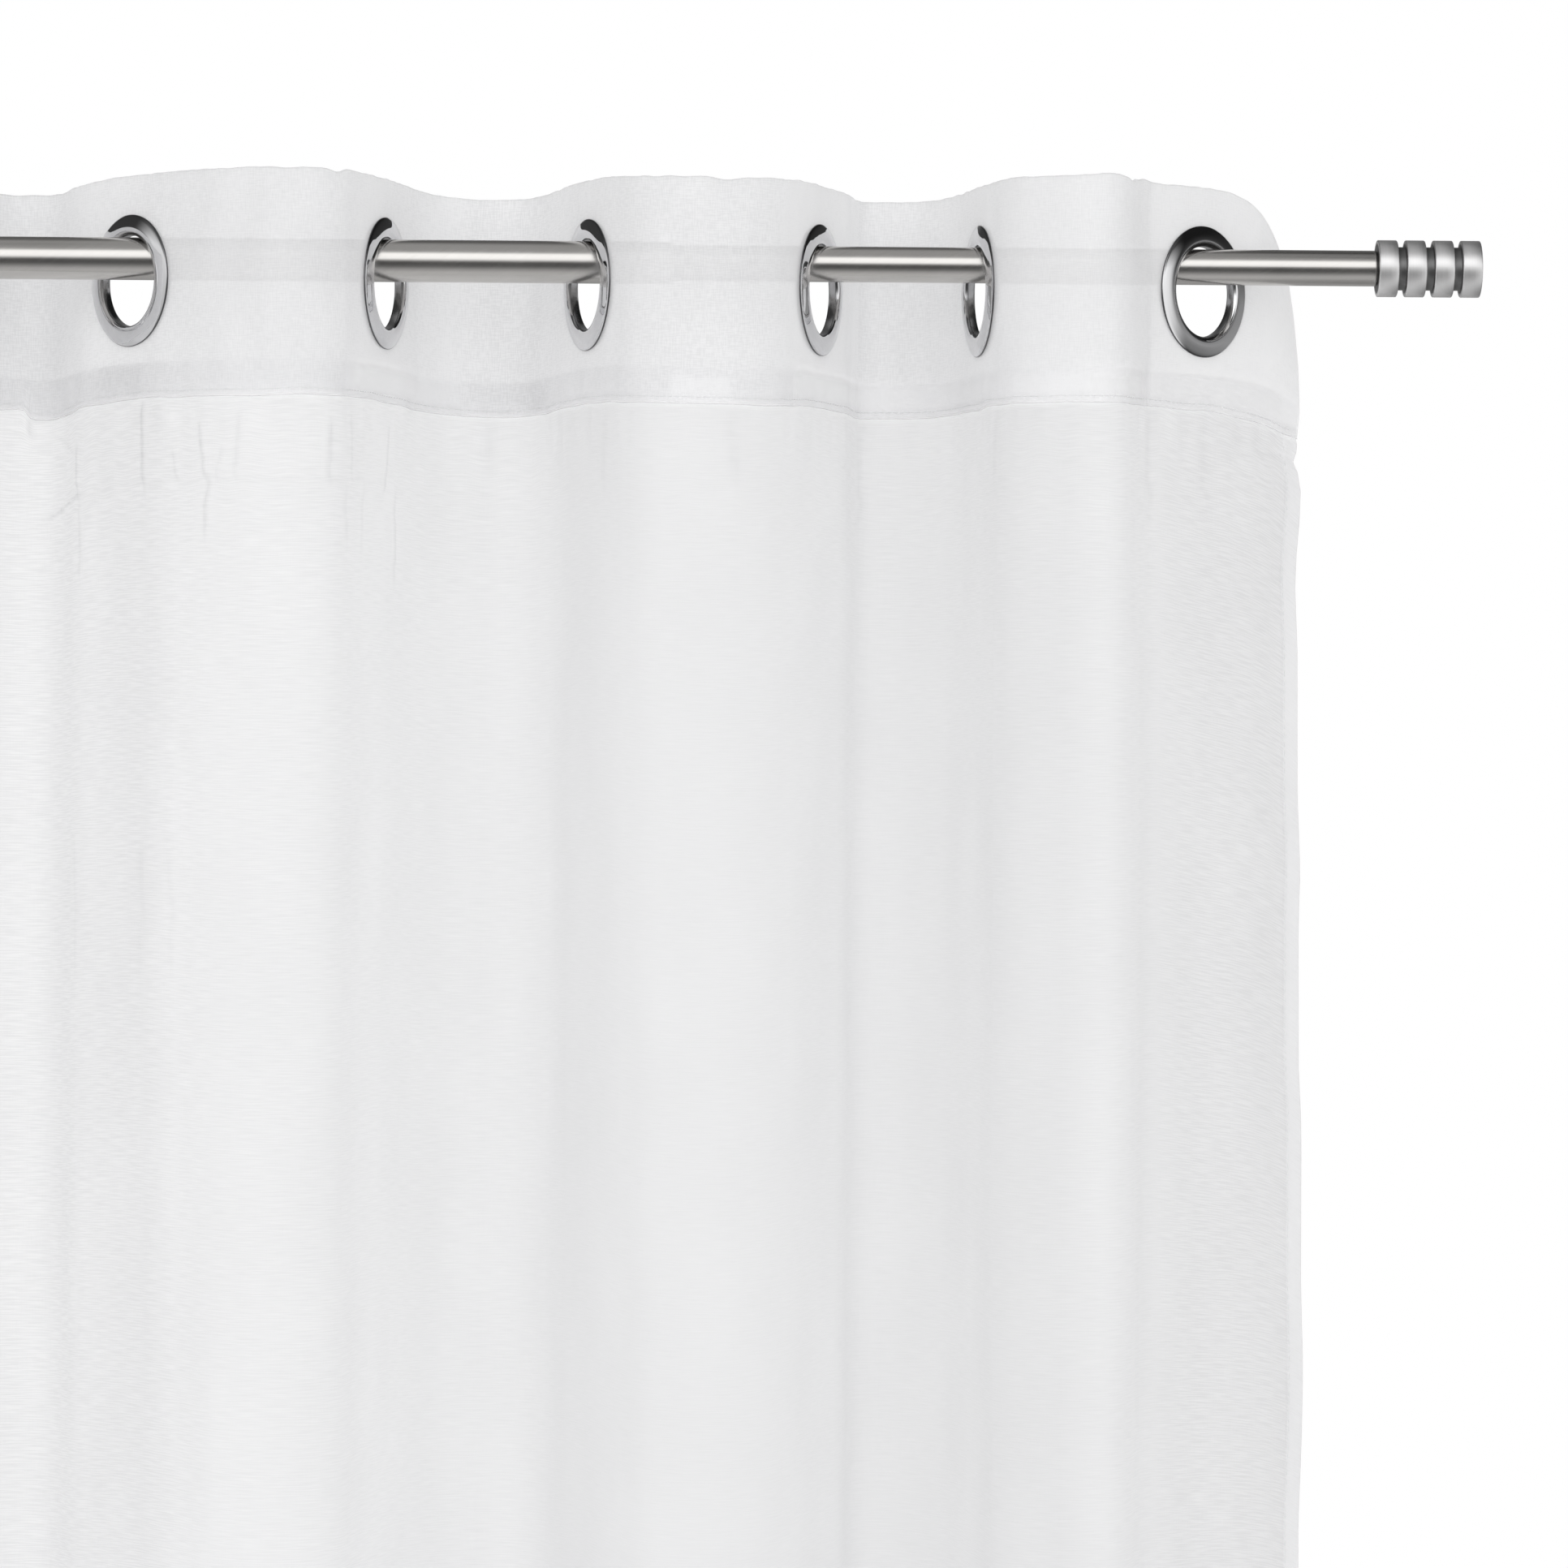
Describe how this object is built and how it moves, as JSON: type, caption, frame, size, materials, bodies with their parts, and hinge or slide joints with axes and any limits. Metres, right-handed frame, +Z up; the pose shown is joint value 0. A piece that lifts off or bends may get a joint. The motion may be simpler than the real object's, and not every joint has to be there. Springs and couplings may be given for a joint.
{
  "type": "eyelet curtain and rod",
  "caption": "Sheer eyelet curtain hanging in soft waves from a telescopic metal rod, with pressed metal eyelets and grooved end finials.",
  "frame": {"origin": "on the rod's axis, at the middle of its length", "axes": "+X along the rod towards the end of its thinner tube, -Y the way the front of the cloth faces, +Z up"},
  "size_m": [0.9252, 0.1481, 2.46],
  "materials": {
    "sheer_cloth": "sheer crepe weave",
    "heading_cloth": "doubled plain weave",
    "eyelet_metal": "polished",
    "rod_steel": "brushed",
    "finial_metal": "satin"
  },
  "bodies": {
    "root": {"panel": "sheer_cloth", "heading": "heading_cloth", "eyelet_1_front": "eyelet_metal", "eyelet_2_front": "eyelet_metal", "eyelet_3_front": "eyelet_metal", "eyelet_4_front": "eyelet_metal", "eyelet_5_front": "eyelet_metal", "eyelet_6_front": "eyelet_metal", "eyelet_7_front": "eyelet_metal", "eyelet_8_front": "eyelet_metal", "eyelet_1_back": "eyelet_metal", "eyelet_2_back": "eyelet_metal", "eyelet_3_back": "eyelet_metal", "eyelet_4_back": "eyelet_metal", "eyelet_5_back": "eyelet_metal", "eyelet_6_back": "eyelet_metal", "eyelet_7_back": "eyelet_metal", "eyelet_8_back": "eyelet_metal", "rod_outer": "rod_steel", "rod_inner": "rod_steel", "finial_left": "finial_metal", "finial_right": "finial_metal"}
  },
  "joints": []
}
